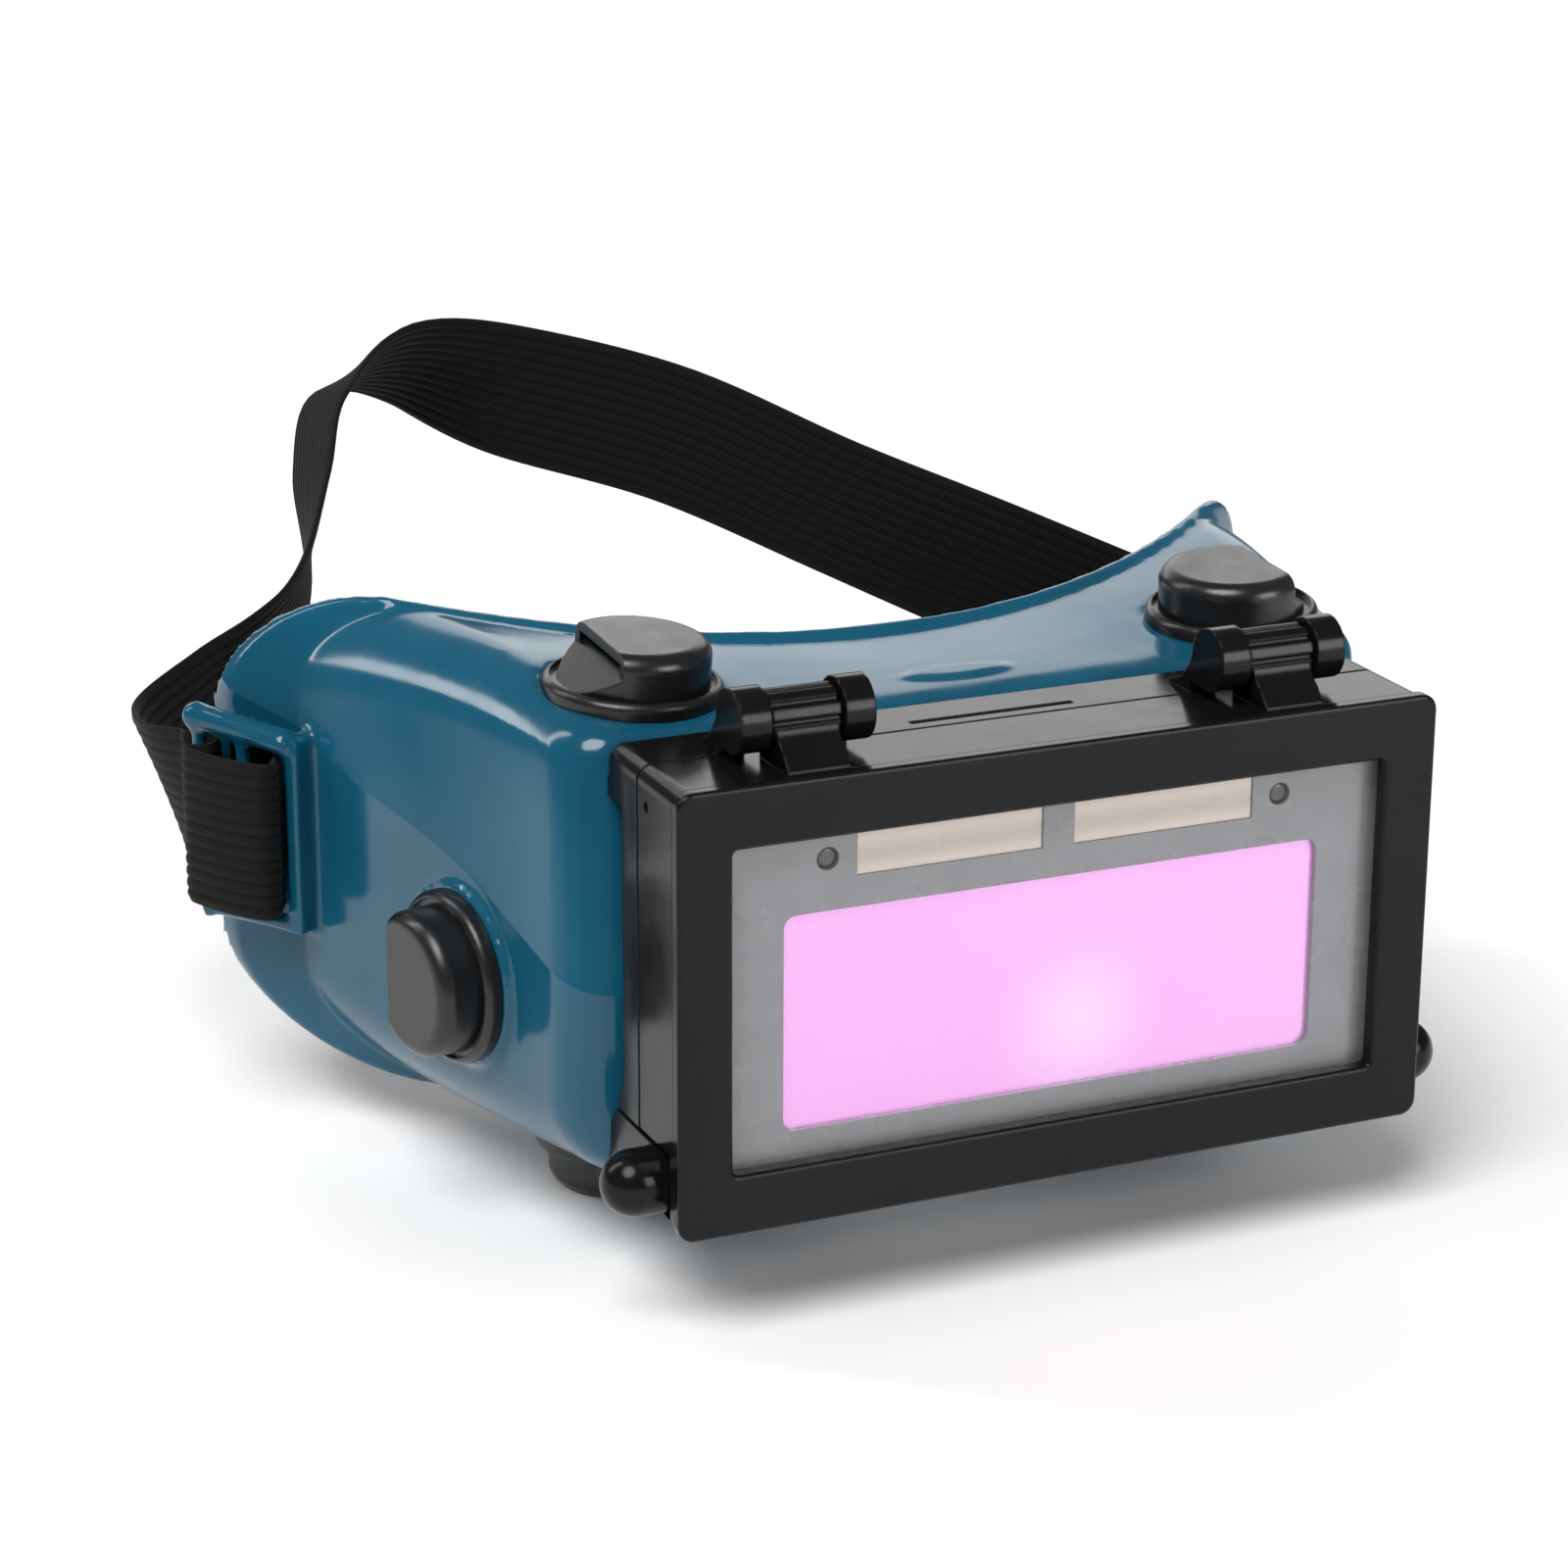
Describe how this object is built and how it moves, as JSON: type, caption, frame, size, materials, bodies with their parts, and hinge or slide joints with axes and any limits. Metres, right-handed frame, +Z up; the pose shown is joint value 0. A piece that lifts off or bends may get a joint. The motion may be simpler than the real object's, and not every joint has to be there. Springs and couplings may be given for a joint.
{
  "type": "welding goggles",
  "caption": "Flip-up auto-darkening welding goggles: boxed front on hinges, soft vented face mask and an elastic head strap",
  "frame": {"origin": "under the middle of the whole object's bounding box, at the level of the lower vents' flat faces", "axes": "+X across the goggles, to the right as seen from in front of the lens; +Y from the lens back towards the wearer; +Z up"},
  "size_m": [0.1995, 0.1938, 0.1117],
  "materials": {
    "frame_black": "satin front, glossy sides",
    "clear_cover": "clear polycarbonate",
    "clear_inner": "clear polycarbonate",
    "cartridge_grey": "gloss printed",
    "filter_pink": "coated, mirror-like",
    "lcd_dark": "dark green",
    "solar": "gloss",
    "sensor": "gloss",
    "board": "gloss",
    "battery": "brushed",
    "inner_black": "matt",
    "gasket": "matt",
    "pin_steel": "brushed",
    "mask_teal": "glossy soft vinyl",
    "strap_black": "ribbed elastic webbing",
    "vent_black": "satin",
    "vent_ring_black": "matt"
  },
  "bodies": {
    "mask": {"base_frame": "frame_black", "clear_lens": "clear_inner", "lens_retainer": "inner_black", "clamp_ring": "inner_black", "lens_gasket": "gasket", "hinge_pin_left": "pin_steel", "hinge_pin_right": "pin_steel", "face_mask": "mask_teal", "head_strap": "strap_black", "vent_hood_top_left": "vent_black", "vent_ring_top_left": "vent_ring_black", "vent_hood_top_right": "vent_black", "vent_ring_top_right": "vent_ring_black", "vent_hood_side_left": "vent_black", "vent_ring_side_left": "vent_ring_black", "vent_hood_side_right": "vent_black", "vent_ring_side_right": "vent_ring_black", "vent_hood_bottom_left": "vent_black", "vent_ring_bottom_left": "vent_ring_black", "vent_hood_bottom_right": "vent_black", "vent_ring_bottom_right": "vent_ring_black"},
    "flip_front": {"flip_frame": "frame_black", "cover_lens": "clear_cover", "filter_housing": "cartridge_grey", "interference_filter": "filter_pink", "lcd_shutter": "lcd_dark", "solar_cell_left": "solar", "solar_cell_right": "solar", "light_sensor_left": "sensor", "light_sensor_right": "sensor", "control_board": "board", "button_battery_left": "battery", "button_battery_right": "battery", "filter_retainer": "inner_black"},
    "latch_left": {"latch_tab_left": "frame_black"},
    "latch_right": {"latch_tab_right": "frame_black"}
  },
  "joints": [
    {"name": "flip_hinge", "type": "hinge", "parent": "mask", "child": "flip_front", "pos_m": [0, -0.086, 0.0882], "axis": [-1, 0, 0], "range_deg": [0, 100]},
    {"name": "latch_left_press", "type": "slide", "parent": "mask", "child": "latch_left", "axis": [1, 0, 0], "range_m": [0, 0.0012], "stiffness_N_per_m": 1500},
    {"name": "latch_right_press", "type": "slide", "parent": "mask", "child": "latch_right", "axis": [-1, 0, 0], "range_m": [0, 0.0012], "stiffness_N_per_m": 1500}
  ]
}
